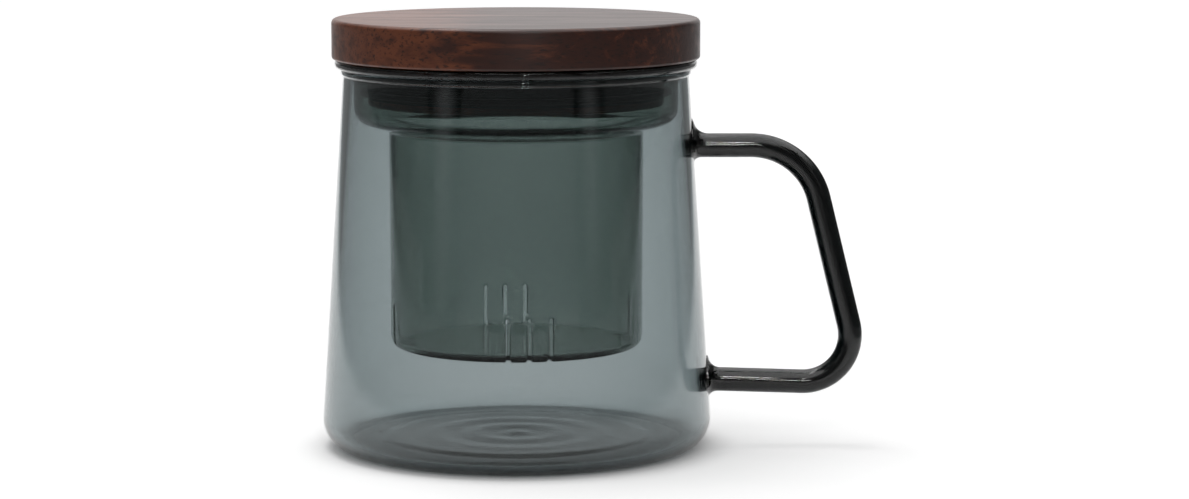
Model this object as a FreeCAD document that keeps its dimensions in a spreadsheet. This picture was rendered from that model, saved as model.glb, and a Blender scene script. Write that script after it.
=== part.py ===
# Glass tea mug with a lift-out glass infuser and a turned walnut lid.
# Millimetres, +Z up, origin at the middle of the flat underside, handle towards +X.
import FreeCAD, Part
import math
import os
import Sketcher

# Driving sizes. Each one can be changed by itself, and the rest follows.
DRIVING_SIZES = [
    ("mug_foot_dia", 96.0, "outside of the straight wall, carried down to the table"),
    ("mug_mouth_dia", 84.0, "outside of the wall just under the rim bead"),
    ("mug_wall_height", 91.3, "table to the underside of the rim bead"),
    ("mug_wall", 2.0, "wall thickness"),
    ("mug_floor", 3.2, "floor thickness"),
    ("foot_corner_radius", 7.0, "outer bottom corner"),
    ("floor_corner_radius", 5.2, "inner bottom corner"),
    ("rim_bead_height", 1.7, "fire-polished bead on the wall's top"),
    ("rim_bead_proud", 0.5, "how far the bead stands out of the wall"),
    ("rim_round_share", 0.4, "rounding of the rim's edges, as a share of the bead's height"),
    ("rod_dia", 5.9, "glass rod of the handle"),
    ("handle_top_height", 73.9, "centre line of the upper arm"),
    ("handle_shoulder_reach", 70.6, "mug axis to the upper corner of the centre line"),
    ("handle_shoulder_radius", 17.0, "upper bend, on the centre line"),
    ("handle_heel_reach", 85.0, "mug axis to the lower corner of the centre line"),
    ("handle_heel_height", 15.2, "lower corner of the centre line"),
    ("handle_heel_radius", 11.5, "lower bend, on the centre line"),
    ("handle_foot_height", 16.3, "centre line where the lower arm enters the wall"),
    ("weld_flare", 2.8, "round fillet of melted glass where the rod meets the wall"),
    ("weld_sink", 0.15, "how deep the fillet's end dips into the rod"),
    ("weld_land", 0.5, "straight end of the fillet, under the rod's surface"),
    ("collar_gap", 0.6, "play between the mug's mouth and the infuser's collar"),
    ("flange_overhang", 2.0, "how far the flange stands out past the mug's mouth"),
    ("flange_height", 2.2, "thickness of the infuser's flange bead"),
    ("flange_round_share", 0.45, "rounding of the flange's edges, as a share of its height"),
    ("infuser_wall", 1.2, "wall thickness of the infuser"),
    ("collar_depth", 12.6, "mug rim down to the collar's lower corner"),
    ("shoulder_drop", 2.5, "fall of the shoulder from collar to neck"),
    ("shoulder_radius", 3.9, "outer corner between collar and shoulder"),
    ("neck_radius", 1.0, "hollow corner between shoulder and basket"),
    ("basket_neck_dia", 62.0, "outside of the basket at the neck"),
    ("basket_foot_dia", 61.4, "outside of the basket at its bottom"),
    ("basket_depth", 68.1, "mug rim down to the basket's underside"),
    ("basket_corner_radius", 2.5, "outer bottom corner of the basket"),
    ("slit_width", 0.9, "width of one cut"),
    ("slit_height", 11.3, "top of the cuts above the basket's underside"),
    ("slit_cutter_dia", 30.0, "disc that cuts the slits through wall and floor"),
    ("slit_pitch_angle", 9.8, "angle between the cuts of one group"),
    ("slits_per_group", 3, "cuts in one group"),
    ("slit_groups", 4, "groups round the basket"),
    ("infuser_turn", 7.0, "how far the infuser hangs turned in the mug"),
    ("lid_overhang", 0.7, "how far the lid stands out past the flange"),
    ("lid_thickness", 9.8, "disc of the lid"),
    ("lid_top_radius", 1.1, "eased upper edge of the disc"),
    ("lid_lower_radius", 0.7, "eased lower edge of the disc"),
    ("plug_depth", 11.0, "plug below the disc"),
    ("plug_gap", 2.2, "play between the plug and the collar's bore"),
    ("plug_edge_radius", 0.8, "eased lower edge of the plug"),
    ("seal_drop", 2.8, "disc down to the top of the seal"),
    ("seal_height", 6.4, "width of the silicone ring"),
    ("seal_groove_depth", 1.4, "groove in the plug that holds the ring"),
    ("seal_gap", 0.3, "play between the ring's lips and the collar's bore"),
    ("lip_thickness", 1.3, "one lip of the ring"),
    ("lip_inset", 0.9, "ring's edge to the nearer lip"),
    ("lip_tip_radius", 0.45, "rounded tip of a lip"),
]

# Heights and radii that several pieces share, as expressions of the sizes above
FOOT_RADIUS = "(Sizes.mug_foot_dia / 2)"
MOUTH_RADIUS = "(Sizes.mug_mouth_dia / 2)"
WALL_TOP = "Sizes.mug_wall_height"
WALL_TAPER = f"(({FOOT_RADIUS} - {MOUTH_RADIUS}) / {WALL_TOP})"
RIM_TOP = f"({WALL_TOP} + Sizes.rim_bead_height)"
MOUTH_BORE = f"({MOUTH_RADIUS} - Sizes.mug_wall)"
FLANGE_TOP = f"({RIM_TOP} + Sizes.flange_height)"
FLANGE_RADIUS = f"({MOUTH_RADIUS} + Sizes.flange_overhang)"
COLLAR_RADIUS = f"({MOUTH_BORE} - Sizes.collar_gap)"
COLLAR_BORE = f"({COLLAR_RADIUS} - Sizes.infuser_wall)"
COLLAR_BOTTOM = f"({RIM_TOP} - Sizes.collar_depth)"
NECK_HEIGHT = f"({COLLAR_BOTTOM} - Sizes.shoulder_drop)"
NECK_RADIUS = "(Sizes.basket_neck_dia / 2)"
BASKET_FOOT_RADIUS = "(Sizes.basket_foot_dia / 2)"
BASKET_BOTTOM = f"({RIM_TOP} - Sizes.basket_depth)"
LID_RADIUS = f"({FLANGE_RADIUS} + Sizes.lid_overhang)"
LID_TOP = f"({FLANGE_TOP} + Sizes.lid_thickness)"
PLUG_RADIUS = f"({COLLAR_BORE} - Sizes.plug_gap)"
PLUG_BOTTOM = f"({FLANGE_TOP} - Sizes.plug_depth)"
GROOVE_RADIUS = f"({PLUG_RADIUS} - Sizes.seal_groove_depth)"
SEAL_TOP = f"({FLANGE_TOP} - Sizes.seal_drop)"
SEAL_BOTTOM = f"({SEAL_TOP} - Sizes.seal_height)"
LIP_RADIUS = f"({COLLAR_BORE} - Sizes.seal_gap)"
ROD_RADIUS = "(Sizes.rod_dia / 2)"
WELD_RADIUS = f"({ROD_RADIUS} + Sizes.weld_flare)"

SHARP = None
ORIGIN_POINT = (-1, 1)
X_AXIS_INDEX, Y_AXIS_INDEX = -1, -2
START, END, CENTRE = 1, 2, 3


def make_sheet(doc):
    """Write the driving sizes into a spreadsheet, one alias to a row."""
    sheet = doc.addObject("Spreadsheet::Sheet", "Sizes")
    for row, (alias, size, meaning) in enumerate(DRIVING_SIZES, start=1):
        sheet.set(f"A{row}", alias)
        sheet.set(f"B{row}", str(size))
        sheet.set(f"C{row}", meaning)
        sheet.setAlias(f"B{row}", alias)
    doc.recompute()
    return sheet


def evaluate(expression):
    """Value of an expression of the sheet's sizes, as it stands now."""
    return float(FreeCAD.ActiveDocument.Sizes.evalExpression(expression))


def new_body(doc, name):
    """Empty body whose label is the name of the piece."""
    body = doc.addObject("PartDesign::Body", name)
    body.Label = name
    return body


def new_sketch(body, name, role="XZ_Plane"):
    """Sketch on one of the body's own origin planes."""
    sketch = body.newObject("Sketcher::SketchObject", name)
    plane = next(item for item in body.Origin.OriginFeatures if item.Role == role)
    sketch.AttachmentSupport = [(plane, "")]
    sketch.MapMode = "FlatFace"
    return sketch


def bind(sketch, constraint, expression):
    """Add a dimension to the sketch and tie it to an expression."""
    index = sketch.addConstraint(constraint)
    sketch.renameConstraint(index, f"size_{index}")
    sketch.setExpression(f"Constraints.size_{index}", expression)


def place_point(sketch, geometry, vertex, x, y):
    """Hold a point of the sketch at the place that two expressions give."""
    for kind, axis, expression in (("DistanceX", Y_AXIS_INDEX, x), ("DistanceY", X_AXIS_INDEX, y)):
        if expression == "0":
            sketch.addConstraint(Sketcher.Constraint("PointOnObject", geometry, vertex, axis))
        else:
            value = evaluate(expression)
            dimension = Sketcher.Constraint(kind, *ORIGIN_POINT, geometry, vertex, value)
            bind(sketch, dimension, expression)


def round_corner(before, corner, after, radius):
    """Arc that rounds a corner, with the points where it starts and ends."""
    back = (before - corner).normalize()
    onward = (after - corner).normalize()
    reach = radius / math.tan(back.getAngle(onward) / 2)
    start = corner + back * reach
    end = corner + onward * reach
    inward = (back + onward).normalize()
    centre = corner + inward * math.hypot(radius, reach)
    middle = centre - inward * radius
    return Part.Arc(start, middle, end), start, end


def draw(sketch, corners, closed=True):
    """Line through the corners, each (x, y, radius) as expressions, with round or sharp corners."""
    spots = [FreeCAD.Vector(evaluate(x), evaluate(y), 0) for x, y, _ in corners]
    count = len(corners)
    arcs = {}
    arrive, leave = list(spots), list(spots)
    for i, (_, _, radius) in enumerate(corners):
        if radius is not SHARP:
            arc, arrive[i], leave[i] = round_corner(spots[i - 1], spots[i], spots[(i + 1) % count],
                                                    evaluate(radius))
            arcs[i] = sketch.addGeometry(arc)
    runs = count if closed else count - 1
    lines = [sketch.addGeometry(Part.LineSegment(leave[i], arrive[(i + 1) % count])) for i in range(runs)]
    for i, (x, y, radius) in enumerate(corners):
        line_in = lines[i - 1] if closed or i > 0 else None
        line_out = lines[i] if i < runs else None
        if radius is not SHARP:
            corner = sketch.addGeometry(Part.Point(spots[i]), True)
            place_point(sketch, corner, START, x, y)
            sketch.addConstraint(Sketcher.Constraint("PointOnObject", corner, START, line_in))
            sketch.addConstraint(Sketcher.Constraint("PointOnObject", corner, START, line_out))
            join_arc(sketch, arcs[i], arrive[i], line_in, END)
            join_arc(sketch, arcs[i], leave[i], line_out, START)
            bind(sketch, Sketcher.Constraint("Radius", arcs[i], evaluate(radius)), radius)
        elif line_out is None:
            place_point(sketch, line_in, END, x, y)
        else:
            place_point(sketch, line_out, START, x, y)
            if line_in is not None:
                sketch.addConstraint(Sketcher.Constraint("Coincident", line_in, END, line_out, START))
    return lines


def join_arc(sketch, arc, meeting, line, line_vertex):
    """Join the arc's end nearest the meeting point to a line's end, tangent to it."""
    ends = (START, END)
    arc_vertex = min(ends, key=lambda vertex: sketch.getPoint(arc, vertex).distanceToPoint(meeting))
    sketch.addConstraint(Sketcher.Constraint("Tangent", arc, arc_vertex, line, line_vertex))


def turn(body, sketch, name, axis="V_Axis", kind="PartDesign::Revolution"):
    """Turn a sketch a full circle about one of its axes, adding or cutting."""
    feature = body.newObject(kind, name)
    feature.Profile = sketch
    feature.ReferenceAxis = (sketch, [axis])
    feature.Angle = 360
    sketch.Visibility = False
    return feature


def make_mug_body(doc):
    """Tapered mug with a thick floor, rounded foot and a bead round its rim."""
    body = new_body(doc, "mug_body")
    sketch = new_sketch(body, "mug_outline")
    bead_radius = f"({MOUTH_RADIUS} + Sizes.rim_bead_proud)"
    rim_edge = "Sizes.rim_bead_height * Sizes.rim_round_share"
    draw(sketch, [
        ("0", "0", SHARP),
        (FOOT_RADIUS, "0", "Sizes.foot_corner_radius"),
        (MOUTH_RADIUS, WALL_TOP, SHARP),
        (bead_radius, f"{WALL_TOP} + Sizes.rim_bead_proud", SHARP),
        (bead_radius, RIM_TOP, rim_edge),
        (MOUTH_BORE, RIM_TOP, rim_edge),
        (f"{FOOT_RADIUS} - Sizes.mug_wall", "Sizes.mug_floor", "Sizes.floor_corner_radius"),
        ("0", "Sizes.mug_floor", SHARP),
    ])
    turn(body, sketch, "blown_wall")
    return body


def add_weld(body, name, arm_height):
    """Melted fillet round one end of the rod, from the wall out to the rod's own surface.

    Its root lies so deep that its whole rim is inside the wall, which leans and curves away from it.
    """
    sketch = new_sketch(body, f"{name}_outline")
    wall_fall = f"({WELD_RADIUS} * ({WALL_TAPER} + {WELD_RADIUS} / Sizes.mug_mouth_dia))"
    root = f"({FOOT_RADIUS} - {WALL_TAPER} * {arm_height} - {wall_fall})"
    flared = f"({arm_height} + {WELD_RADIUS})"
    slim = f"({arm_height} + {ROD_RADIUS} - Sizes.weld_sink)"
    tip = f"({root} + Sizes.weld_flare + Sizes.weld_land)"
    lines = draw(sketch, [
        (MOUTH_BORE, arm_height, SHARP),
        (MOUTH_BORE, flared, SHARP),
        (root, flared, SHARP),
        (root, slim, "Sizes.weld_flare"),
        (tip, slim, SHARP),
        (tip, arm_height, SHARP),
    ])
    axis = sketch.addGeometry(Part.LineSegment(sketch.getPoint(lines[-1], START),
                                               sketch.getPoint(lines[-1], END)), True)
    sketch.addConstraint(Sketcher.Constraint("Coincident", axis, START, lines[-1], START))
    sketch.addConstraint(Sketcher.Constraint("Coincident", axis, END, lines[-1], END))
    turn(body, sketch, name, axis="Axis0")


def make_handle(doc):
    """Bent glass rod with a melted fillet at each end, hollowed to sit on the mug's wall."""
    body = new_body(doc, "handle")
    route = new_sketch(body, "rod_route")
    draw(route, [
        (MOUTH_BORE, "Sizes.handle_top_height", SHARP),
        ("Sizes.handle_shoulder_reach", "Sizes.handle_top_height", "Sizes.handle_shoulder_radius"),
        ("Sizes.handle_heel_reach", "Sizes.handle_heel_height", "Sizes.handle_heel_radius"),
        (MOUTH_BORE, "Sizes.handle_foot_height", SHARP),
    ], closed=False)
    section = new_sketch(body, "rod_section", "YZ_Plane")
    section.setExpression("AttachmentOffset.Base.z", MOUTH_BORE)
    circle = section.addGeometry(Part.Circle(FreeCAD.Vector(0, evaluate("Sizes.handle_top_height"), 0),
                                             FreeCAD.Vector(0, 0, 1), evaluate(ROD_RADIUS)))
    place_point(section, circle, CENTRE, "0", "Sizes.handle_top_height")
    bind(section, Sketcher.Constraint("Radius", circle, evaluate(ROD_RADIUS)), ROD_RADIUS)
    doc.recompute()
    rod = body.newObject("PartDesign::AdditivePipe", "bent_rod")
    rod.Profile = section
    rod.Spine = route
    doc.recompute()
    add_weld(body, "upper_weld", "Sizes.handle_top_height")
    add_weld(body, "lower_weld", "Sizes.handle_foot_height")
    doc.recompute()
    before = body.Shape.Volume
    seat = new_sketch(body, "wall_outline")
    draw(seat, [
        ("0", "0", SHARP),
        (FOOT_RADIUS, "0", SHARP),
        (MOUTH_RADIUS, WALL_TOP, SHARP),
        ("0", WALL_TOP, SHARP),
    ])
    turn(body, seat, "wall_seat", kind="PartDesign::Groove")
    doc.recompute()
    assert body.Shape.Volume < before, "the wall's seat cut nothing off the handle"
    return body


def make_infuser(doc):
    """Blown basket that hangs by its flange, with a wide collar and groups of slits at its foot."""
    body = new_body(doc, "infuser")
    sketch = new_sketch(body, "infuser_outline")
    flange_edge = "Sizes.flange_height * Sizes.flange_round_share"
    draw(sketch, [
        ("0", BASKET_BOTTOM, SHARP),
        (BASKET_FOOT_RADIUS, BASKET_BOTTOM, "Sizes.basket_corner_radius"),
        (NECK_RADIUS, NECK_HEIGHT, "Sizes.neck_radius"),
        (COLLAR_RADIUS, COLLAR_BOTTOM, "Sizes.shoulder_radius"),
        (COLLAR_RADIUS, RIM_TOP, SHARP),
        (FLANGE_RADIUS, RIM_TOP, flange_edge),
        (FLANGE_RADIUS, FLANGE_TOP, flange_edge),
        (COLLAR_BORE, FLANGE_TOP, flange_edge),
        (COLLAR_BORE, f"{COLLAR_BOTTOM} + Sizes.infuser_wall", "Sizes.shoulder_radius - Sizes.infuser_wall"),
        (f"{NECK_RADIUS} - Sizes.infuser_wall", f"{NECK_HEIGHT} + Sizes.infuser_wall",
         "Sizes.neck_radius + Sizes.infuser_wall"),
        (f"{BASKET_FOOT_RADIUS} - Sizes.infuser_wall", f"{BASKET_BOTTOM} + Sizes.infuser_wall",
         "Sizes.basket_corner_radius - Sizes.infuser_wall"),
        ("0", f"{BASKET_BOTTOM} + Sizes.infuser_wall", SHARP),
    ])
    turn(body, sketch, "blown_basket")
    doc.recompute()
    before = body.Shape.Volume

    cut = new_sketch(body, "cutter_outline")
    cutter_radius = "(Sizes.slit_cutter_dia / 2)"
    cutter_reach = f"({BASKET_FOOT_RADIUS} + sqrt({cutter_radius} ^ 2 - Sizes.slit_height ^ 2))"
    centre = FreeCAD.Vector(evaluate(cutter_reach), evaluate(BASKET_BOTTOM), 0)
    disc = cut.addGeometry(Part.Circle(centre, FreeCAD.Vector(0, 0, 1), evaluate(cutter_radius)))
    place_point(cut, disc, CENTRE, cutter_reach, BASKET_BOTTOM)
    bind(cut, Sketcher.Constraint("Radius", disc, evaluate(cutter_radius)), cutter_radius)
    slit = body.newObject("PartDesign::Pocket", "slit")
    slit.Profile = cut
    slit.SideType = "Symmetric"
    slit.setExpression("Length", "Sizes.slit_width")
    doc.recompute()

    slits = body.newObject("PartDesign::MultiTransform", "slits")
    slits.Originals = [slit]
    group = body.newObject("PartDesign::PolarPattern", "slit_group")
    group.Axis = (cut, ["V_Axis"])
    group.setExpression("Angle", "Sizes.slit_pitch_angle * (Sizes.slits_per_group - 1)")
    group.setExpression("Occurrences", "Sizes.slits_per_group")
    ring = body.newObject("PartDesign::PolarPattern", "slit_ring")
    ring.Axis = (cut, ["V_Axis"])
    ring.Angle = 360
    ring.setExpression("Occurrences", "Sizes.slit_groups")
    slits.Transformations = [group, ring]
    body.Tip = slits
    hung_turn = "Sizes.infuser_turn - Sizes.slit_pitch_angle * (Sizes.slits_per_group - 1) / 2"
    body.Placement = FreeCAD.Placement(FreeCAD.Vector(), FreeCAD.Vector(0, 0, 1), evaluate(hung_turn))
    body.setExpression("Placement.Rotation.Angle", hung_turn)
    doc.recompute()
    assert body.Shape.Volume < before, "the slits cut nothing off the infuser"
    return body


def make_lid(doc):
    """Turned disc with a plug below it, grooved for the seal."""
    body = new_body(doc, "lid")
    sketch = new_sketch(body, "lid_outline")
    draw(sketch, [
        ("0", PLUG_BOTTOM, SHARP),
        (PLUG_RADIUS, PLUG_BOTTOM, "Sizes.plug_edge_radius"),
        (PLUG_RADIUS, SEAL_BOTTOM, SHARP),
        (GROOVE_RADIUS, SEAL_BOTTOM, SHARP),
        (GROOVE_RADIUS, SEAL_TOP, SHARP),
        (PLUG_RADIUS, SEAL_TOP, SHARP),
        (PLUG_RADIUS, FLANGE_TOP, SHARP),
        (LID_RADIUS, FLANGE_TOP, "Sizes.lid_lower_radius"),
        (LID_RADIUS, LID_TOP, "Sizes.lid_top_radius"),
        ("0", LID_TOP, SHARP),
    ])
    turn(body, sketch, "turned_lid")
    return body


def make_lid_seal(doc):
    """Silicone ring with two lips that fills the plug's groove."""
    body = new_body(doc, "lid_seal")
    sketch = new_sketch(body, "seal_outline")
    lip_floors = [
        f"({SEAL_BOTTOM} + Sizes.lip_inset)",
        f"({SEAL_TOP} - Sizes.lip_inset - Sizes.lip_thickness)",
    ]
    corners = [(GROOVE_RADIUS, SEAL_BOTTOM, SHARP), (PLUG_RADIUS, SEAL_BOTTOM, SHARP)]
    for floor in lip_floors:
        roof = f"({floor} + Sizes.lip_thickness)"
        corners += [
            (PLUG_RADIUS, floor, SHARP),
            (LIP_RADIUS, floor, "Sizes.lip_tip_radius"),
            (LIP_RADIUS, roof, "Sizes.lip_tip_radius"),
            (PLUG_RADIUS, roof, SHARP),
        ]
    corners += [(PLUG_RADIUS, SEAL_TOP, SHARP), (GROOVE_RADIUS, SEAL_TOP, SHARP)]
    draw(sketch, corners)
    turn(body, sketch, "moulded_ring")
    return body


def check(doc, pieces):
    """Stop before anything is written if an object failed or a solid is unsound."""
    for item in doc.Objects:
        faults = {"Invalid", "Error"} & set(item.State)
        assert not faults, f"{item.Label}: {faults}"
    for piece in pieces:
        shape = piece.Shape
        assert not shape.isNull() and shape.isValid(), f"{piece.Label} is not a sound solid"
        assert len(shape.Solids) == 1, f"{piece.Label} has {len(shape.Solids)} solids"


def main():
    """Build every piece, check it and write one file for each."""
    doc = FreeCAD.newDocument("tea_mug")
    make_sheet(doc)
    pieces = [make_mug_body(doc), make_handle(doc), make_infuser(doc), make_lid(doc), make_lid_seal(doc)]
    doc.recompute()
    check(doc, pieces)
    os.makedirs("parts", exist_ok=True)
    for piece in pieces:
        piece.Shape.exportStep(f"parts/{piece.Label}.step")
        box = piece.Shape.BoundBox
        print(f"{piece.Label}: volume {piece.Shape.Volume:.1f}, x {box.XMin:.2f} to {box.XMax:.2f}, "
              f"y {box.YMin:.2f} to {box.YMax:.2f}, z {box.ZMin:.2f} to {box.ZMax:.2f}")


main()
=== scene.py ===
"""Finish and stage a smoked glass tea mug with a glass infuser and a turned walnut lid.

The mug and the camera's place are given in millimetres, and the lamps, panels and paper in metres.
The axes are the frame's: +Z up, handle towards +X, and the photograph's viewer towards -Y.
"""
import logging
import math
from collections.abc import Iterable
from dataclasses import dataclass, field
from enum import Enum

import bmesh
import bpy
from mathutils import Matrix, Quaternion, Vector


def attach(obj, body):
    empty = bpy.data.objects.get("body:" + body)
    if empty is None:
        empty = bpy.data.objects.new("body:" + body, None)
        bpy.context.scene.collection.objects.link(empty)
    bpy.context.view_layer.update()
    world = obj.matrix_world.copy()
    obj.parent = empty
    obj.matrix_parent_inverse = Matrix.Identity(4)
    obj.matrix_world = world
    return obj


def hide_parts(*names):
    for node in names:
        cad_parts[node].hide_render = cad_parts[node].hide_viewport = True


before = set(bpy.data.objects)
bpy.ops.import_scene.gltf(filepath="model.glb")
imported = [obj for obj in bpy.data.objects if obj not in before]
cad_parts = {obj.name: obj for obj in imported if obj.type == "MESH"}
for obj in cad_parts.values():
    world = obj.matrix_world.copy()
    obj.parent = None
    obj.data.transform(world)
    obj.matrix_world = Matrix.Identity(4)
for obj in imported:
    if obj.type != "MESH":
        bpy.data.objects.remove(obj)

LOG = logging.getLogger("tea_mug")
MM = 0.001
SHARP_ANGLE = math.radians(40.0)
TINY = 1e-6
EASED = {"interpolation_type": "SMOOTHSTEP"}
BETWEEN_COLOURS = {"data_type": "RGBA"}


class Slot(Enum):
    """Material slots of the record."""

    GLASS = "smoked_glass"
    WOOD = "walnut"
    SILICONE = "black_silicone"


class Body(Enum):
    """Bodies that move."""

    MUG = "mug"
    INFUSER = "infuser"
    LID = "lid"


def linear(hex_colour: str) -> tuple[float, float, float, float]:
    """Turn an sRGB hex colour to linear.

    Args:
        hex_colour: Six hex digits, such as "8a9699".

    Returns:
        Linear red, green and blue, and an alpha of 1.
    """
    channels = [int(hex_colour[i:i + 2], 16) / 255 for i in (0, 2, 4)]
    red, green, blue = (c / 12.92 if c <= 0.04045 else ((c + 0.055) / 1.055) ** 2.4 for c in channels)
    return red, green, blue, 1.0


def add_node(tree: bpy.types.NodeTree, kind: str, settings: dict | None = None,
             **inputs: object) -> bpy.types.Node:
    """Add a node with its settings and its sockets' values or links.

    Args:
        tree: Node tree of a material or the world.
        kind: Type of the node.
        settings: Properties of the node.
        inputs: Socket names, with _ for a space, or i and a number for a socket's place. The value is
            a number or colour, an output socket to link, or a node whose first output is linked.

    Returns:
        The new node.
    """
    node = tree.nodes.new(kind)
    for name, value in (settings or {}).items():
        setattr(node, name, value)
    for name, value in inputs.items():
        key = int(name[1:]) if name[0] == "i" and name[1:].isdigit() else name.replace("_", " ")
        socket = node.inputs[key]
        if isinstance(value, bpy.types.Node):
            value = value.outputs[0]
        if isinstance(value, bpy.types.NodeSocket):
            tree.links.new(value, socket)
        else:
            socket.default_value = value
    return node


def blank_material(name: str) -> tuple[bpy.types.Material, bpy.types.NodeTree, bpy.types.Node]:
    """Make a material that holds only its output node.

    Args:
        name: Name of the material.

    Returns:
        The material, its tree and its output node.
    """
    material = bpy.data.materials.new(name)
    material.use_nodes = True
    tree = material.node_tree
    tree.nodes.clear()
    return material, tree, tree.nodes.new("ShaderNodeOutputMaterial")


def seen_rays(tree: bpy.types.NodeTree) -> bpy.types.Node:
    """Find the rays that show the background: to the camera, or by way of gloss or glass.

    Args:
        tree: Node tree of a material or the world.

    Returns:
        Node whose first output is 1 for those rays.
    """
    path = add_node(tree, "ShaderNodeLightPath").outputs
    either = add_node(tree, "ShaderNodeMath", {"operation": "MAXIMUM"}, i0=path["Is Camera Ray"],
                      i1=path["Is Glossy Ray"])
    return add_node(tree, "ShaderNodeMath", {"operation": "MAXIMUM"}, i0=either,
                    i1=path["Is Transmission Ray"])


def white_to_camera(tree: bpy.types.NodeTree, shade: bpy.types.Node) -> bpy.types.Node:
    """Return the node of a brightness that is at least 1 where the camera sees it straight."""
    path = add_node(tree, "ShaderNodeLightPath").outputs
    return add_node(tree, "ShaderNodeMath", {"operation": "MAXIMUM"}, i0=shade, i1=path["Is Camera Ray"])


# Finishes
@dataclass(frozen=True)
class BlownGlass:
    """Borosilicate glass, smoke-tinted in the melt, blown and fire-polished.

    The eye gets a clear grey that deepens with the glass it looks through, so edges, rims and the
    solid rod go almost black. Fire-polishing leaves it perfectly smooth, with sharp highlights.
    """

    name: str
    melt_colour: str
    depth_per_metre: float
    ior: float = 1.473
    shadow_colour: str = "c4cccd"

    def material(self) -> bpy.types.Material:
        """Make glass whose colour comes from the length of the way through it.

        Returns:
            The glass.
        """
        material, tree, output = blank_material(self.name)
        glass = add_node(tree, "ShaderNodeBsdfPrincipled", Base_Color=(1, 1, 1, 1), Roughness=0.0,
                         IOR=self.ior, Transmission_Weight=1.0)
        # Light of the lamp goes straight through, so that the shadow is smooth.
        lamp_light = add_node(tree, "ShaderNodeBsdfTransparent", Color=linear(self.shadow_colour))
        path = add_node(tree, "ShaderNodeLightPath").outputs
        surface = add_node(tree, "ShaderNodeMixShader", i0=path["Is Shadow Ray"], i1=glass, i2=lamp_light)
        melt = add_node(tree, "ShaderNodeVolumeAbsorption", Color=linear(self.melt_colour),
                        Density=self.depth_per_metre)
        tree.links.new(surface.outputs[0], output.inputs["Surface"])
        tree.links.new(melt.outputs[0], output.inputs["Volume"])
        return material


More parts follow.
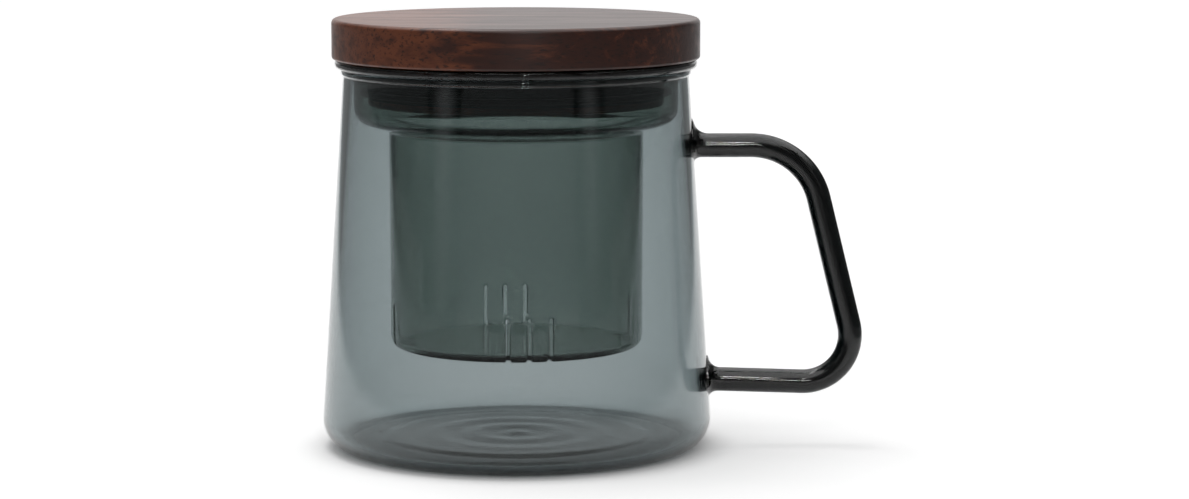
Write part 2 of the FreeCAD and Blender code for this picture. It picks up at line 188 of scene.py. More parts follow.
@dataclass(frozen=True)
class TurnedWalnut:
    """Black walnut, turned and rubbed with oil.

    The eye gets red-brown wood with darker streaks along the grain, short open pores and a satin
    sheen that goes grey at a low angle. The grain's turn is in radians.
    """

    name: str = "turned_oiled_walnut"
    heart_colour: str = "391a10"
    streak_colour: str = "2f150d"
    # Palest stop: pale streaks, and mostly the painted light on the -X side.
    pale_streak_and_painted_light_colour: str = "6e3b24"
    pore_colour: str = "1c0f0b"
    tones: tuple[float, float, float] = (0.32, 0.55, 0.80)
    grain_turn: tuple[float, float, float] = (0.0, 0.24, 0.14)
    grain_squeeze: float = 0.08
    streak_spacing: float = 2.6
    bend_spacing: float = 7.8
    bend_depth: float = 6.0
    # Painted light on the -X side: where it starts and ends along X, in millimetres, and how much it adds
    # to the tone.
    painted_light_edge: tuple[float, float] = (2.0, -26.0)
    painted_light_share: float = 0.27
    pore_length: float = 1.6
    pore_width: float = 0.26
    pore_depth: float = 0.08
    pore_relief: float = 0.25
    pore_colour_share: float = 0.75
    pore_edge: tuple[float, float] = (0.56, 0.70)
    ior: float = 1.42
    streak_roughness: float = 0.41
    heart_roughness: float = 0.32
    roughness_edge: tuple[float, float] = (0.3, 0.7)
    oil: float = 0.10
    oil_roughness: float = 0.26

    def material(self) -> bpy.types.Material:
        """Make wood whose grain runs along the frame's X axis.

        Returns:
            The walnut.
        """
        material, tree, output = blank_material(self.name)
        place = add_node(tree, "ShaderNodeTexCoord").outputs["Object"]
        tone, streaks = self.streaked_tone(tree, place)
        pores = self.pores(tree, place)
        colour = add_node(tree, "ShaderNodeMix", BETWEEN_COLOURS, i0=pores, i6=tone,
                          i7=linear(self.pore_colour))
        start, end = self.roughness_edge
        dull = add_node(tree, "ShaderNodeMapRange", Value=streaks, From_Min=start, From_Max=end,
                        To_Min=self.streak_roughness, To_Max=self.heart_roughness)
        relief = add_node(tree, "ShaderNodeBump", Height=pores, Strength=self.pore_relief,
                          Distance=-self.pore_depth * MM)
        wood = add_node(tree, "ShaderNodeBsdfPrincipled", Base_Color=colour.outputs[2], Roughness=dull,
                        IOR=self.ior, Normal=relief, Coat_Weight=self.oil,
                        Coat_Roughness=self.oil_roughness)
        tree.links.new(wood.outputs[0], output.inputs["Surface"])
        return material

    def streaked_tone(self, tree: bpy.types.NodeTree,
                      place: bpy.types.NodeSocket) -> tuple[bpy.types.Node, bpy.types.Node]:
        """Draw long bent streaks, and painted light that makes the wood paler towards -X.

        Args:
            tree: Node tree of the wood.
            place: Position in the wood, in metres.

        Returns:
            Nodes of the wood's colour and of the streaks alone.
        """
        long_grain = add_node(tree, "ShaderNodeMapping", Vector=place, Rotation=self.grain_turn,
                              Scale=(self.grain_squeeze, 1.0, 1.0))
        warp = add_node(tree, "ShaderNodeTexNoise", Vector=long_grain, Detail=2.0,
                        Scale=1 / (self.bend_spacing * MM)).outputs["Color"]
        bend = self.bend_depth * MM
        bent = add_node(tree, "ShaderNodeVectorMath", {"operation": "MULTIPLY_ADD"}, i0=warp,
                        i1=(0.0, bend, bend), i2=long_grain)
        streaks = add_node(tree, "ShaderNodeTexNoise", Vector=bent, Detail=5.0, Roughness=0.55,
                           Scale=1 / (self.streak_spacing * MM))
        along = add_node(tree, "ShaderNodeSeparateXYZ", Vector=place).outputs["X"]
        # Painted light: the wood turns paler and redder towards -X, as if lit from the left.
        start, end = self.painted_light_edge
        painted_light = add_node(tree, "ShaderNodeMapRange", EASED, Value=along, From_Min=start * MM,
                           From_Max=end * MM, To_Min=0.0, To_Max=self.painted_light_share)
        shade = add_node(tree, "ShaderNodeMath", {"operation": "ADD"}, i0=streaks, i1=painted_light)
        tone = add_node(tree, "ShaderNodeValToRGB", Fac=shade)
        self.set_stops(tone, zip(self.tones, (self.streak_colour, self.heart_colour, self.pale_streak_and_painted_light_colour)))
        return tone, streaks

    def pores(self, tree: bpy.types.NodeTree, place: bpy.types.NodeSocket) -> bpy.types.Node:
        """Draw short open pores along the grain.

        Args:
            tree: Node tree of the wood.
            place: Position in the wood, in metres.

        Returns:
            Node that is above 0 in the pores.
        """
        # Real pores are about 0.15 mm wide. They are drawn coarser, so that they show.
        long_grain = add_node(tree, "ShaderNodeMapping", Vector=place, Rotation=self.grain_turn,
                              Scale=(self.pore_width / self.pore_length, 1.0, 1.0))
        spots = add_node(tree, "ShaderNodeTexNoise", Vector=long_grain, Detail=1.0, Roughness=0.5,
                         Scale=1 / (2 * self.pore_width * MM))
        start, end = self.pore_edge
        return add_node(tree, "ShaderNodeMapRange", Value=spots, From_Min=start, From_Max=end,
                        To_Min=0.0, To_Max=self.pore_colour_share)

    @staticmethod
    def set_stops(ramp: bpy.types.Node, stops: Iterable[tuple[float, str]]) -> None:
        """Give a colour ramp its stops.

        Args:
            ramp: Node of the ramp, which starts with two stops.
            stops: Place and hex colour of each stop, from low to high.
        """
        elements = ramp.color_ramp.elements
        for i, (position, colour) in enumerate(stops):
            element = elements[i] if i < len(elements) else elements.new(position)
            element.position = position
            element.color = linear(colour)


@dataclass(frozen=True)
class MouldedSilicone:
    """Silicone rubber, moulded in a blasted steel tool.

    The eye gets a soft black with a broad dull sheen and the faint tooth of the tool.
    """

    name: str = "moulded_black_silicone"
    colour: str = "17181a"
    dust_colour: str = "232527"
    dust_size: float = 9.0
    tooth: float = 0.15
    tooth_depth: float = 0.02
    tooth_relief: float = 0.3
    ior: float = 1.41
    roughness: float = 0.55

    def material(self) -> bpy.types.Material:
        """Make matt black rubber with a fine tooth.

        Returns:
            The rubber.
        """
        material, tree, output = blank_material(self.name)
        place = add_node(tree, "ShaderNodeTexCoord").outputs["Object"]
        # Real tooth is about 0.05 mm apart. It is drawn coarser, so that it shows.
        grit = add_node(tree, "ShaderNodeTexNoise", Vector=place, Detail=2.0, Scale=1 / (self.tooth * MM))
        dust = add_node(tree, "ShaderNodeTexNoise", Vector=place, Detail=3.0,
                        Scale=1 / (self.dust_size * MM))
        colour = add_node(tree, "ShaderNodeMix", BETWEEN_COLOURS, i0=dust, i6=linear(self.colour),
                          i7=linear(self.dust_colour))
        relief = add_node(tree, "ShaderNodeBump", Height=grit, Strength=self.tooth_relief,
                          Distance=self.tooth_depth * MM)
        rubber = add_node(tree, "ShaderNodeBsdfPrincipled", Base_Color=colour.outputs[2],
                          Roughness=self.roughness, IOR=self.ior, Normal=relief)
        tree.links.new(rubber.outputs[0], output.inputs["Surface"])
        return material


# Outlines and meshes
@dataclass(frozen=True)
class Corner:
    """Corner of an outline, across and along its piece, with the radius that rounds it."""

    r: float
    z: float
    radius: float = 0.0


def round_outline(corners: list[Corner], closed: bool, arc_step: float = 7.0) -> list[Vector]:
    """Turn corners into points, with an arc at each rounded one.

    Args:
        corners: Corners in order.
        closed: Whether the last corner joins the first.
        arc_step: Largest angle between the points of an arc, in degrees.

    Returns:
        Points in the plane of the outline, in millimetres.
    """
    spots = [Vector((c.r, c.z)) for c in corners]
    count = len(spots)
    points = []
    for i, corner in enumerate(corners):
        inner = closed or 0 < i < count - 1
        if corner.radius == 0 or not inner:
            points.append(spots[i])
            continue
        back = (spots[i - 1] - spots[i]).normalized()
        onward = (spots[(i + 1) % count] - spots[i]).normalized()
        half = back.angle(onward) / 2
        inward = (back + onward).normalized()
        centre = spots[i] + inward * (corner.radius / math.sin(half))
        first = spots[i] + back * (corner.radius / math.tan(half)) - centre
        sweep = math.pi - 2 * half
        if back.cross(onward) > 0:
            sweep = -sweep
        steps = max(2, math.ceil(abs(math.degrees(sweep)) / arc_step))
        points += [centre + Matrix.Rotation(sweep * k / steps, 2) @ first for k in range(steps + 1)]
    return points


def divide_runs(points: list[Vector], longest: float) -> list[Vector]:
    """Add even points on straight runs that are longer than a given length.

    Args:
        points: Points in order, open at the end.
        longest: Longest run that stays whole, in millimetres.

    Returns:
        The points with the new ones among them.
    """
    result = [points[0]]
    for start, end in zip(points, points[1:]):
        steps = max(1, math.ceil((end - start).length / longest))
        result += [start.lerp(end, k / steps) for k in range(1, steps + 1)]
    return result


def smooth(mesh: bpy.types.Mesh) -> None:
    """Shade a mesh smooth, apart from its sharp edges."""
    mesh.shade_smooth()
    mesh.set_sharp_from_angle(angle=SHARP_ANGLE)


def mesh_object(name: str, bm: bmesh.types.BMesh) -> bpy.types.Object:
    """Turn a bmesh into a smooth object of the scene.

    Args:
        name: Name of the object.
        bm: Mesh in metres. It is freed.

    Returns:
        The object.
    """
    bmesh.ops.recalc_face_normals(bm, faces=bm.faces)
    mesh = bpy.data.meshes.new(name)
    bm.to_mesh(mesh)
    bm.free()
    smooth(mesh)
    obj = bpy.data.objects.new(name, mesh)
    bpy.context.scene.collection.objects.link(obj)
    return obj


def turned_bmesh(points: list[Vector], segments: int, closed: bool) -> bmesh.types.BMesh:
    """Turn an outline about the Z axis.

    Args:
        points: Outline as (r, z), in millimetres. A point on the axis becomes one vertex.
        segments: Steps round the axis.
        closed: Whether the last point joins the first.

    Returns:
        Mesh in metres.
    """
    bm = bmesh.new()
    rings = []
    for point in points:
        if point.x < TINY:
            rings.append([bm.verts.new((0, 0, point.y * MM))] * segments)
            continue
        turns = (math.tau * k / segments for k in range(segments))
        rings.append([bm.verts.new((point.x * math.cos(turn) * MM, point.x * math.sin(turn) * MM,
                                    point.y * MM)) for turn in turns])
    pairs = list(zip(rings, rings[1:])) + ([(rings[-1], rings[0])] if closed else [])
    for lower, upper in pairs:
        for k in range(segments):
            after = (k + 1) % segments
            corners = dict.fromkeys((lower[k], lower[after], upper[after], upper[k]))
            if len(corners) > 2:
                bm.faces.new(corners)
    return bm


def skin(bm: bmesh.types.BMesh, rings: list[list[bmesh.types.BMVert]]) -> None:
    """Join rings of one count with faces, and close both ends.

    Args:
        bm: Mesh that holds the rings.
        rings: Rings of vertices, in order.
    """
    for one, two in zip(rings, rings[1:]):
        for k in range(len(one)):
            after = (k + 1) % len(one)
            bm.faces.new((one[k], one[after], two[after], two[k]))
    for ring in (rings[0], rings[-1]):
        bm.faces.new(ring)


def cut_away(piece: bpy.types.Object, cutter: bpy.types.Object) -> None:
    """Take the cutter's solid out of a piece, then remove the cutter.

    Args:
        piece: Closed mesh that is cut.
        cutter: Closed mesh that cuts.
    """
    cut = piece.modifiers.new("cut", "BOOLEAN")
    cut.operation = "DIFFERENCE"
    cut.solver = "EXACT"
    cut.object = cutter
    shaped = bpy.data.meshes.new_from_object(piece.evaluated_get(bpy.context.evaluated_depsgraph_get()))
    piece.modifiers.clear()
    plain = piece.data
    piece.data = shaped
    bpy.data.meshes.remove(plain)
    bpy.data.objects.remove(cutter)
    shaped.name = piece.name
    smooth(shaped)


def dress(piece: bpy.types.Object, material: bpy.types.Material, body: Body, slot: Slot,
          *nodes: str) -> bpy.types.Object:
    """Give a piece its material and its body, and hide the parts that it stands for.

    Args:
        piece: Piece to dress.
        material: Its finish.
        body: Body that it rides on.
        slot: Slot of the record. Not used.
        nodes: Nodes that it stands for.

    Returns:
        The piece.
    """
    piece.data.materials.clear()
    piece.data.materials.append(material)
    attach(piece, body.value)
    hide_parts(*nodes)
    return piece


# Pieces of the mug
@dataclass
class MugBody:
    """Blown mug: tapered wall, thick floor, rounded foot and a bead round the rim."""

    foot_radius: float = 48.0
    mouth_radius: float = 42.0
    wall_height: float = 91.3
    rim_height: float = 93.0
    wall: float = 2.0
    floor: float = 3.2
    floor_edge: float = 2.0
    foot_corner: float = 7.0
    floor_corner: float = 5.2
    bead_proud: float = 0.5
    bead_start: float = 0.35
    bead_root_round: float = 0.5
    bead_lower_round: float = 0.3
    rim_round: float = 0.75
    ring_count: int = 4
    ring_depth: float = 0.22
    segments: int = 256
    finish: BlownGlass = BlownGlass("blown_smoked_borosilicate", "90a3a6", 480.0)

    def taper_radius(self, z: float) -> float:
        """Return the wall's outer radius at a height."""
        return self.foot_radius - (self.foot_radius - self.mouth_radius) * z / self.wall_height

    def outer_corners(self) -> list[Corner]:
        """List the corners of the outside.

        Returns:
            Corners from the middle of the underside up to the bead.
        """
        bead = self.mouth_radius + self.bead_proud
        return [
            Corner(0, 0),
            Corner(self.foot_radius, 0, self.foot_corner),
            Corner(self.mouth_radius, self.wall_height, self.bead_root_round),
            Corner(bead, self.wall_height + self.bead_start, self.bead_lower_round),
            Corner(bead, self.rim_height, self.rim_round),
        ]

    def build(self) -> bpy.types.Object:
        """Build the mug, with faint rings on its floor, and dress it.

        Returns:
            The mug's glass.
        """
        bore = self.mouth_radius - self.wall
        inside = [
            Corner(bore, self.rim_height, self.rim_round),
            Corner(self.foot_radius - self.wall, self.floor_edge, self.floor_corner),
            Corner(0, self.floor_edge),
        ]
        points = divide_runs(round_outline(self.outer_corners() + inside, closed=False), longest=1.5)
        flat = self.foot_radius - self.wall - self.floor_corner
        # The floor thins towards its edge, and the rings of the blowing fade out with it.
        for point in points:
            if abs(point.y - self.floor_edge) < TINY and point.x < flat:
                share = point.x / flat
                point.y += (self.floor - self.ring_depth - self.floor_edge) * (1 - share ** 2)
                point.y += self.ring_depth * (1 - share) * math.cos(math.tau * self.ring_count * share)
        piece = mesh_object("mug_body_glass", turned_bmesh(points, self.segments, closed=False))
        return dress(piece, self.finish.material(), Body.MUG, Slot.GLASS, "mug_body")


@dataclass
class Handle:
    """Bent rod of solid glass, melted on the mug's wall at both ends."""

    mug: MugBody
    rod_radius: float = 2.95
    route: tuple[Corner, ...] = (
        Corner(41.5, 73.9),
        Corner(70.6, 73.9, 17.0),
        Corner(85.0, 15.2, 11.5),
        Corner(41.5, 16.45),
    )
    upper_weld_up: float = 3.6
    upper_weld_down: float = 1.9
    lower_weld_up: float = 2.8
    lower_weld_down: float = 2.5
    seat_gap: float = 0.02
    seat_segments: int = 512
    sides: int = 96
    finish: BlownGlass = BlownGlass("bent_smoked_glass_rod", "6f8388", 1650.0)

    def flare(self, point: Vector, upward: float, at_top: bool) -> float:
        """Return how far the melted glass stands out of the rod.

        Args:
            point: Point of the centre line, in the plane of the handle.
            upward: From -1 at the rod's underside to 1 at its top.
            at_top: Whether the point is on the upper arm.

        Returns:
            Extra radius in millimetres.
        """
        up, down = ((self.upper_weld_up, self.upper_weld_down) if at_top
                    else (self.lower_weld_up, self.lower_weld_down))
        reach = up * (1 + upward) / 2 + down * (1 - upward) / 2
        away = point.x - self.mug.taper_radius(point.y)
        if away >= reach:
            return 0.0
        depth = reach - max(away, 0.0)
        return reach - math.sqrt(reach ** 2 - depth ** 2)

    def build(self) -> bpy.types.Object:
        """Sweep the rod with its melted ends, seat it on the wall and dress it.

        Returns:
            The handle's glass.
        """
        line = divide_runs(round_outline(list(self.route), closed=False, arc_step=4.0), longest=0.35)
        bm = bmesh.new()
        rings = []
        middle = sum(point.y for point in line) / len(line)
        for i, point in enumerate(line):
            along = (line[min(i + 1, len(line) - 1)] - line[max(i - 1, 0)]).normalized()
            side = Vector((-along.y, along.x))
            up_sign = 1 if side.y > 0 else -1
            ring = []
            for k in range(self.sides):
                turn = math.tau * k / self.sides
                upward = math.cos(turn) * up_sign
                radius = self.rod_radius + self.flare(point, upward, point.y > middle)
                flat = point + side * (radius * math.cos(turn))
                ring.append(bm.verts.new((flat.x * MM, radius * math.sin(turn) * MM, flat.y * MM)))
            rings.append(ring)
        skin(bm, rings)
        piece = mesh_object("handle_glass", bm)
        cut_away(piece, self.seat_cutter())
        return dress(piece, self.finish.material(), Body.MUG, Slot.GLASS, "handle")

    def seat_cutter(self) -> bpy.types.Object:
        """Build the cone that trims both ends to the mug's wall.

        Returns:
            The cutter.
        """
        points = round_outline([
            Corner(0, 0),
            Corner(self.mug.foot_radius + self.seat_gap, 0),
            Corner(self.mug.mouth_radius + self.seat_gap, self.mug.wall_height),
            Corner(0, self.mug.wall_height),
        ], closed=False)
        return mesh_object("handle_seat_cutter", turned_bmesh(points, self.seat_segments, closed=False))


@dataclass
class Infuser:
    """Blown basket that hangs by its flange, with groups of slits at its foot.

    Angles are in degrees. The slits' cutter reaches past_glass half walls from the glass's middle.
    """

    flange_radius: float = 44.0
    flange_top: float = 95.2
    rim_height: float = 93.0
    collar_radius: float = 39.4
    collar_bottom: float = 80.4
    neck_radius: float = 31.0
    neck_height: float = 77.9
    foot_radius: float = 30.7
    bottom: float = 24.9
    wall: float = 1.2
    shoulder_round: float = 3.9
    neck_round: float = 1.0
    foot_round: float = 2.5
    collar_top_round: float = 0.3
    flange_round: float = 0.95
    mouth_round: float = 1.0
    slit_width: float = 0.9
    slit_height: float = 11.3
    cutter_radius: float = 15.0
    slit_pitch: float = 9.8
    slits_per_group: int = 3
    groups: int = 4
    turn: float = 7.0
    edge_turn: float = 76.0
    edge_steps: int = 4
    end_turns: tuple[float, ...] = (8.0, 35.0, 62.0)
    past_glass: float = 1.6
    segments: int = 256
    finish: BlownGlass = BlownGlass("blown_smoked_infuser_glass", "8da499", 690.0)

    def build(self) -> bpy.types.Object:
        """Build the basket, cut its slits and dress it.

        Returns:
            The infuser's glass.
        """
        wall, bore = self.wall, self.collar_radius - self.wall
        corners = [
            Corner(0, self.bottom),
            Corner(self.foot_radius, self.bottom, self.foot_round),
            Corner(self.neck_radius, self.neck_height, self.neck_round),
            Corner(self.collar_radius, self.collar_bottom, self.shoulder_round),
            Corner(self.collar_radius, self.rim_height, self.collar_top_round),
            Corner(self.flange_radius, self.rim_height, self.flange_round),
            Corner(self.flange_radius, self.flange_top, self.flange_round),
            Corner(bore, self.flange_top, self.mouth_round),
            Corner(bore, self.collar_bottom + wall, self.shoulder_round - wall),
            Corner(self.neck_radius - wall, self.neck_height + wall, self.neck_round + wall),
            Corner(self.foot_radius - wall, self.bottom + wall, self.foot_round - wall),
            Corner(0, self.bottom + wall),
        ]
        points = divide_runs(round_outline(corners, closed=False), longest=2.5)
        piece = mesh_object("infuser_glass", turned_bmesh(points, self.segments, closed=False))
        cut_away(piece, self.slit_cutter())
        return dress(piece, self.finish.material(), Body.INFUSER, Slot.GLASS, "infuser")

    def slit_cutter(self) -> bpy.types.Object:
        """Build every slit, with the round edges that the flame leaves.

        Returns:
            All slits as one cutter.
        """
        half, width = self.wall / 2, self.slit_width / 2
        reach = self.foot_radius + math.sqrt(self.cutter_radius ** 2 - self.slit_height ** 2)
        run = divide_runs(round_outline([
            Corner(reach - self.cutter_radius + width, self.bottom + half),
            Corner(self.foot_radius - half, self.bottom + half, self.foot_round - half),
            Corner(self.foot_radius - half, self.bottom + self.slit_height - width - half),
        ], closed=False), longest=1.0)
        steps = range(-self.edge_steps, self.edge_steps + 1)
        turns = [math.radians(self.edge_turn * k / self.edge_steps) for k in steps]
        section = [(half * math.sin(turn), half * (1 - math.cos(turn))) for turn in turns]
        past = self.past_glass * half
        section = [(-past, section[0][1]), *section, (past, section[-1][1])]
        bm = bmesh.new()
        for group in range(self.groups):
            for slit in range(self.slits_per_group):
                angle = self.turn + 360 * group / self.groups
                angle += self.slit_pitch * (slit - (self.slits_per_group - 1) / 2)
                self.add_slit(bm, run, section, Matrix.Rotation(math.radians(angle), 4, "Z"))
        return mesh_object("slit_cutter", bm)

    def add_slit(self, bm: bmesh.types.BMesh, run: list[Vector], section: list[tuple[float, float]],
                 spin: Matrix) -> None:
        """Add the shape of one slit, with a round end at its foot and its head.

        Args:
            bm: Mesh that gets the slit.
            run: Middle line of the glass along the slit, as radius and height.
            section: Distance from the middle line, and how much wider the slit is there.
            spin: Turn that brings the slit to its place round the basket.
        """
        width = self.slit_width / 2
        ends = [math.radians(turn) for turn in self.end_turns]
        stations = [(0, -math.cos(turn), math.sin(turn)) for turn in ends]
        stations += [(i, 0.0, 1.0) for i in range(len(run))]
        stations += [(len(run) - 1, math.cos(turn), math.sin(turn)) for turn in reversed(ends)]
        rings = []
        for i, past, share in stations:
            along = (run[min(i + 1, len(run) - 1)] - run[max(i - 1, 0)]).normalized()
            across = Vector((-along.y, along.x))
            ring = []
            for sign, side in ((1, section), (-1, section[::-1])):
                for away, flare in side:
                    flat = run[i] + across * away + along * (past * (width + flare))
                    out = sign * (width + flare) * share
                    ring.append(bm.verts.new(spin @ Vector((flat.x * MM, out * MM, flat.y * MM))))
            rings.append(ring)
        skin(bm, rings)


@dataclass
class Lid:
    """Turned walnut disc with its plug, and the silicone ring in the plug's groove."""

    radius: float = 44.7
    bottom: float = 95.2
    top: float = 105.0
    top_round: float = 1.1
    lower_round: float = 0.7
    plug_radius: float = 36.0
    plug_bottom: float = 84.2
    plug_round: float = 0.8
    plug_root_round: float = 0.3
    seal_bottom: float = 86.0
    seal_top: float = 92.4
    groove_radius: float = 34.6
    lip_radius: float = 37.9
    lip: float = 1.3
    lip_inset: float = 0.9
    lip_round: float = 0.45
    segments: int = 192
    walnut: TurnedWalnut = TurnedWalnut()
    silicone: MouldedSilicone = MouldedSilicone()

    def build(self) -> list[bpy.types.Object]:
        """Build and dress the walnut and the ring.

        Returns:
            The walnut and the ring.
        """
        corners = [
            Corner(0, self.plug_bottom),
            Corner(self.plug_radius, self.plug_bottom, self.plug_round),
            Corner(self.plug_radius, self.seal_bottom),
            Corner(self.groove_radius, self.seal_bottom),
            Corner(self.groove_radius, self.seal_top),
            Corner(self.plug_radius, self.seal_top),
            Corner(self.plug_radius, self.bottom, self.plug_root_round),
            Corner(self.radius, self.bottom, self.lower_round),
            Corner(self.radius, self.top, self.top_round),
            Corner(0, self.top),
        ]
        points = divide_runs(round_outline(corners, closed=False), longest=4.0)
        wood = mesh_object("lid_walnut", turned_bmesh(points, self.segments, closed=False))
        dress(wood, self.walnut.material(), Body.LID, Slot.WOOD, "lid")
        ring_points = self.ring_outline()
        ring = mesh_object("lid_seal_silicone", turned_bmesh(ring_points, self.segments, closed=True))
        dress(ring, self.silicone.material(), Body.LID, Slot.SILICONE, "lid_seal")
        return [wood, ring]

    def ring_outline(self) -> list[Vector]:
        """Work out the ring's section, with its two rounded lips.

        Returns:
            Points of the section, as radius and height.
        """
        corners = [Corner(self.groove_radius, self.seal_bottom), Corner(self.plug_radius, self.seal_bottom)]
        for floor in (self.seal_bottom + self.lip_inset, self.seal_top - self.lip_inset - self.lip):
            corners += [
                Corner(self.plug_radius, floor),
                Corner(self.lip_radius, floor, self.lip_round),
                Corner(self.lip_radius, floor + self.lip, self.lip_round),
                Corner(self.plug_radius, floor + self.lip),
            ]
        corners += [Corner(self.plug_radius, self.seal_top), Corner(self.groove_radius, self.seal_top)]
        return round_outline(corners, closed=True, arc_step=15.0)


# Stage
def aim(place: tuple[float, float, float], target_height: float = 0.05) -> Quaternion:
    """Return the turn that points -Z from a place to a height on the mug's axis."""
    return (Vector((0, 0, target_height)) - Vector(place)).to_track_quat("-Z", "Y")


@dataclass
class TopLamp:
    """Square lamp above the mug, a little to the left and behind, which gives the shadow."""

    place: tuple[float, float, float] = (-0.20, 0.10, 1.0)
    side: float = 0.45
    power: float = 3.2

    def build(self) -> None:
        """Hang the lamp and aim it at the middle of the mug."""
        lamp = bpy.data.lights.new("top_lamp", "AREA")
        lamp.shape = "SQUARE"
        lamp.size = self.side
        lamp.energy = self.power
        holder = bpy.data.objects.new("top_lamp", lamp)
        holder.location = self.place
        holder.rotation_euler = aim(self.place).to_euler()
        bpy.context.scene.collection.objects.link(holder)


@dataclass
class Softbox:
    """Diffuser panel, brightest in its middle, that draws a soft light in the glass."""

    name: str
    place: tuple[float, float, float]
    width: float
    height: float
    strength: float
    edge: float

    def build(self) -> None:
        """Stand the panel up, facing the mug."""
        bm = bmesh.new()
        bm.loops.layers.uv.new("cloth")
        face = Matrix.LocRotScale(self.place, aim(self.place), (self.width / 2, self.height / 2, 1))
        bmesh.ops.create_grid(bm, x_segments=1, y_segments=1, size=1.0, matrix=face, calc_uvs=True)
        panel = mesh_object(self.name, bm)
        panel.data.materials.append(self.material())
        panel.visible_camera = False

    def material(self) -> bpy.types.Material:
        """Make a white cloth lit from behind, that fades towards its hems.

        Returns:
            The cloth.
        """
        material, tree, output = blank_material(f"{self.name}_cloth")
        place = add_node(tree, "ShaderNodeUVMap")
        sides = add_node(tree, "ShaderNodeSeparateXYZ", Vector=place).outputs
        # The cloth runs from 0 to 1 both ways, so its middle is at a half.
        fades = []
        for side in (sides["X"], sides["Y"]):
            middle = add_node(tree, "ShaderNodeMath", {"operation": "SUBTRACT"}, i0=side, i1=0.5)
            away = add_node(tree, "ShaderNodeMath", {"operation": "ABSOLUTE"}, i0=middle)
            fades.append(add_node(tree, "ShaderNodeMapRange", EASED, Value=away, From_Min=0.5 - self.edge,
                                  From_Max=0.5, To_Min=math.sqrt(self.strength), To_Max=0.0))
        both = add_node(tree, "ShaderNodeMath", {"operation": "MULTIPLY"}, i0=fades[0], i1=fades[1])
        light = add_node(tree, "ShaderNodeEmission", Color=(1, 1, 1, 1), Strength=both)
        tree.links.new(light.outputs[0], output.inputs["Surface"])
        return material


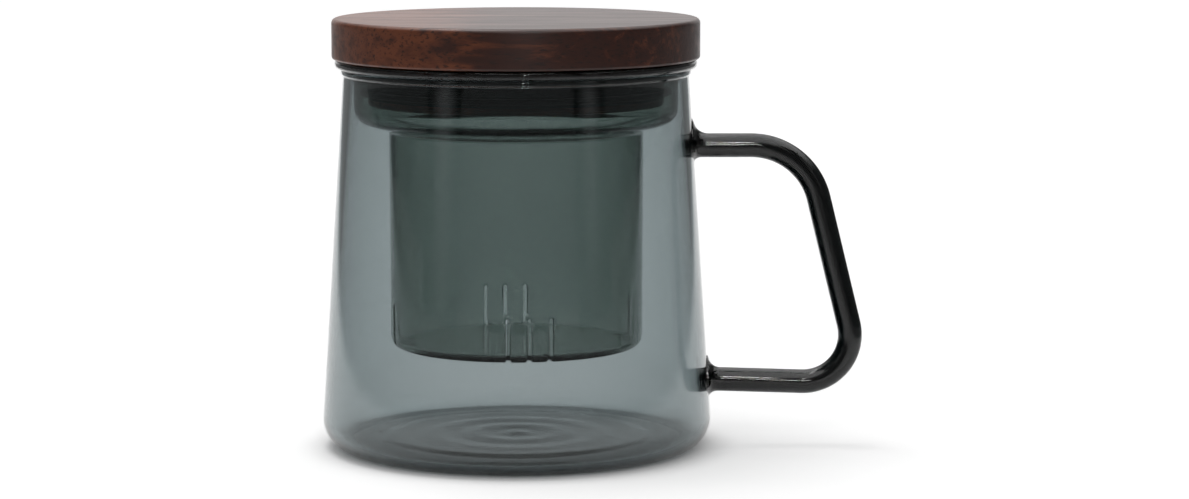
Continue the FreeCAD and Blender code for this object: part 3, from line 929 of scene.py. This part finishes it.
@dataclass
class Studio:
    """White sweep, soft lamps and the camera of the photograph."""

    image_width: int = 1189
    focal_pixels: float = 3441.7
    sensor_width: float = 36.0
    camera_side: float = 19.05
    camera_back: float = 835.0
    camera_height: float = 155.9
    camera_pitch: float = 7.344
    sweep_colour: str = "efefef"
    sweep_reach: float = 6.0
    sweep_front: float = 1.6
    front_fade: tuple[float, float] = (0.08, 0.40)
    side_fade: tuple[float, float] = (0.01, 0.10)
    faded: float = 0.28
    view_spread: float = 0.20
    near_glow: float = 0.45
    far_glow: float = 0.62
    glow_reach: tuple[float, float] = (0.16, 0.9)
    # Painted shadow under the mug: the paper's glow fades out inside these distances from the axis, in
    # metres.
    foot_shade: tuple[float, float] = (0.038, 0.056)
    foot_glow: float = 0.0
    room_light: float = 0.45
    room_front: float = 0.12
    room_back: float = 1.0
    room_top: float = 2.2
    wall_edge: tuple[float, float] = (0.8, 0.98)
    ceiling_edge: tuple[float, float] = (0.4, 0.8)
    bounces: int = 28
    clear_bounces: int = 24
    lamp: TopLamp = field(default_factory=TopLamp)
    panels: list[Softbox] = field(default_factory=lambda: [
        Softbox("left_softbox", (-0.80, -0.78, 0.42), width=0.50, height=1.3, strength=1.3, edge=0.6),
        Softbox("right_softbox", (0.84, -0.72, 0.42), width=0.46, height=1.3, strength=1.0, edge=0.6),
        Softbox("upper_front_strip", (0.104, -0.835, 0.560), width=0.07, height=0.08, strength=28.0,
                edge=0.1),
        Softbox("lower_front_strip", (0.104, -0.835, 0.240), width=0.07, height=0.06, strength=28.0,
                edge=0.1),
    ])

    def build(self) -> None:
        """Set the stage."""
        self.build_camera()
        self.build_sweep()
        self.build_world()
        self.lamp.build()
        for panel in self.panels:
            panel.build()
        bpy.context.scene.view_settings.view_transform = "Standard"
        cycles = bpy.context.scene.cycles
        # A straight look through mug and infuser crosses eight faces of glass, and light turns in them.
        cycles.max_bounces = self.bounces
        cycles.transmission_bounces = self.bounces
        cycles.transparent_max_bounces = self.clear_bounces

    def build_camera(self) -> None:
        """Place the camera where the fit to the photograph's ellipses puts it."""
        camera = bpy.data.cameras.new("photo_camera")
        camera.sensor_width = self.sensor_width
        camera.lens = self.focal_pixels * self.sensor_width / self.image_width
        holder = bpy.data.objects.new("photo_camera", camera)
        holder.location = (self.camera_side * MM, -self.camera_back * MM, self.camera_height * MM)
        holder.rotation_euler = (math.radians(90 - self.camera_pitch), 0, 0)
        bpy.context.scene.collection.objects.link(holder)
        bpy.context.scene.camera = holder

    def build_sweep(self) -> None:
        """Lay white paper that ends in front of the mug and glows where it is seen."""
        bm = bmesh.new()
        corners = [(-self.sweep_reach, -self.sweep_front), (self.sweep_reach, -self.sweep_front),
                   (self.sweep_reach, self.sweep_reach), (-self.sweep_reach, self.sweep_reach)]
        bm.faces.new([bm.verts.new((x, y, 0)) for x, y in corners])
        sweep = mesh_object("floor", bm)
        sweep.data.materials.append(self.paper())

    def paper(self) -> bpy.types.Material:
        """Make matt white paper that takes the shadow, glows, and has a painted shadow under the mug's
        foot.

        Returns:
            The paper.
        """
        material, tree, output = blank_material("matt_paper_sweep")
        place = add_node(tree, "ShaderNodeTexCoord").outputs["Object"]
        lit = self.lit_part(tree, place)
        colour = add_node(tree, "ShaderNodeMix", BETWEEN_COLOURS, i0=lit, i6=(0, 0, 0, 1),
                          i7=linear(self.sweep_colour))
        paper = add_node(tree, "ShaderNodeBsdfDiffuse", Color=colour.outputs[2])
        away = add_node(tree, "ShaderNodeVectorMath", {"operation": "LENGTH"}, i0=place).outputs["Value"]
        near, far = self.glow_reach
        strength = add_node(tree, "ShaderNodeMapRange", EASED, Value=away, From_Min=near, From_Max=far,
                            To_Min=self.near_glow, To_Max=self.far_glow)
        # Painted shadow under the foot: the glow falls to foot_glow near the axis.
        near, far = self.foot_shade
        clear = add_node(tree, "ShaderNodeMapRange", EASED, Value=away, From_Min=near, From_Max=far,
                         To_Min=self.foot_glow)
        for part in (lit, clear):
            strength = add_node(tree, "ShaderNodeMath", {"operation": "MULTIPLY"}, i0=strength, i1=part)
        glow = add_node(tree, "ShaderNodeEmission", Color=(1, 1, 1, 1), Strength=strength)
        both = add_node(tree, "ShaderNodeAddShader", i0=paper, i1=glow)
        seen = add_node(tree, "ShaderNodeMixShader", i0=seen_rays(tree), i1=paper, i2=both)
        tree.links.new(seen.outputs[0], output.inputs["Surface"])
        return material

    def lit_part(self, tree: bpy.types.NodeTree, place: bpy.types.NodeSocket) -> bpy.types.Node:
        """Find the lit paper that the camera sees, which fades in front and at the sides.

        Args:
            tree: Node tree of the paper.
            place: Position on the paper, in metres.

        Returns:
            Node that is 1 on lit paper and less elsewhere.
        """
        sides = add_node(tree, "ShaderNodeSeparateXYZ", Vector=place).outputs
        start, end = self.front_fade
        front = add_node(tree, "ShaderNodeMapRange", EASED, Value=sides["Y"], From_Min=-end,
                         From_Max=-start, To_Min=self.faded)
        # The sides fade past the edges of the view, which spreads from the camera.
        across = add_node(tree, "ShaderNodeMath", {"operation": "ABSOLUTE"}, i0=sides["X"])
        past = add_node(tree, "ShaderNodeMath", {"operation": "MULTIPLY_ADD"}, i0=sides["Y"],
                        i1=-self.view_spread, i2=across)
        start, end = (edge + self.view_spread * self.camera_back * MM for edge in self.side_fade)
        side = add_node(tree, "ShaderNodeMapRange", EASED, Value=past, From_Min=start, From_Max=end,
                        To_Min=1.0, To_Max=self.faded)
        lit = add_node(tree, "ShaderNodeMath", {"operation": "MINIMUM"}, i0=front, i1=side)
        return white_to_camera(tree, lit)

    def build_world(self) -> None:
        """Surround the stage with a room: white behind and above the mug, dark on the camera's side."""
        world = bpy.data.worlds.new("studio_room")
        world.use_nodes = True
        tree = world.node_tree
        tree.nodes.clear()
        way = add_node(tree, "ShaderNodeTexCoord").outputs["Generated"]
        sides = add_node(tree, "ShaderNodeSeparateXYZ", Vector=way).outputs
        start, end = self.wall_edge
        wall = add_node(tree, "ShaderNodeMapRange", EASED, Value=sides["Y"], From_Min=start, From_Max=end,
                        To_Min=self.room_front, To_Max=self.room_back)
        start, end = self.ceiling_edge
        ceiling = add_node(tree, "ShaderNodeMapRange", EASED, Value=sides["Z"], From_Min=start,
                           From_Max=end, To_Min=0.0, To_Max=self.room_top)
        room = add_node(tree, "ShaderNodeMath", {"operation": "MAXIMUM"}, i0=wall, i1=ceiling)
        strength = add_node(tree, "ShaderNodeMix", i0=seen_rays(tree), i2=self.room_light,
                            i3=white_to_camera(tree, room))
        light = add_node(tree, "ShaderNodeBackground", Color=(1, 1, 1, 1), Strength=strength)
        output = add_node(tree, "ShaderNodeOutputWorld")
        tree.links.new(light.outputs[0], output.inputs["Surface"])
        bpy.context.scene.world = world


def main() -> None:
    """Build each piece in order."""
    logging.basicConfig(level=logging.INFO, format="%(name)s %(message)s")
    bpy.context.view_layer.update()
    Studio().build()
    mug = MugBody()
    for piece in (mug.build(), Handle(mug).build(), Infuser().build(), *Lid().build()):
        LOG.info("%s: %d faces", piece.name, len(piece.data.polygons))


if __name__ == "__main__":
    main()
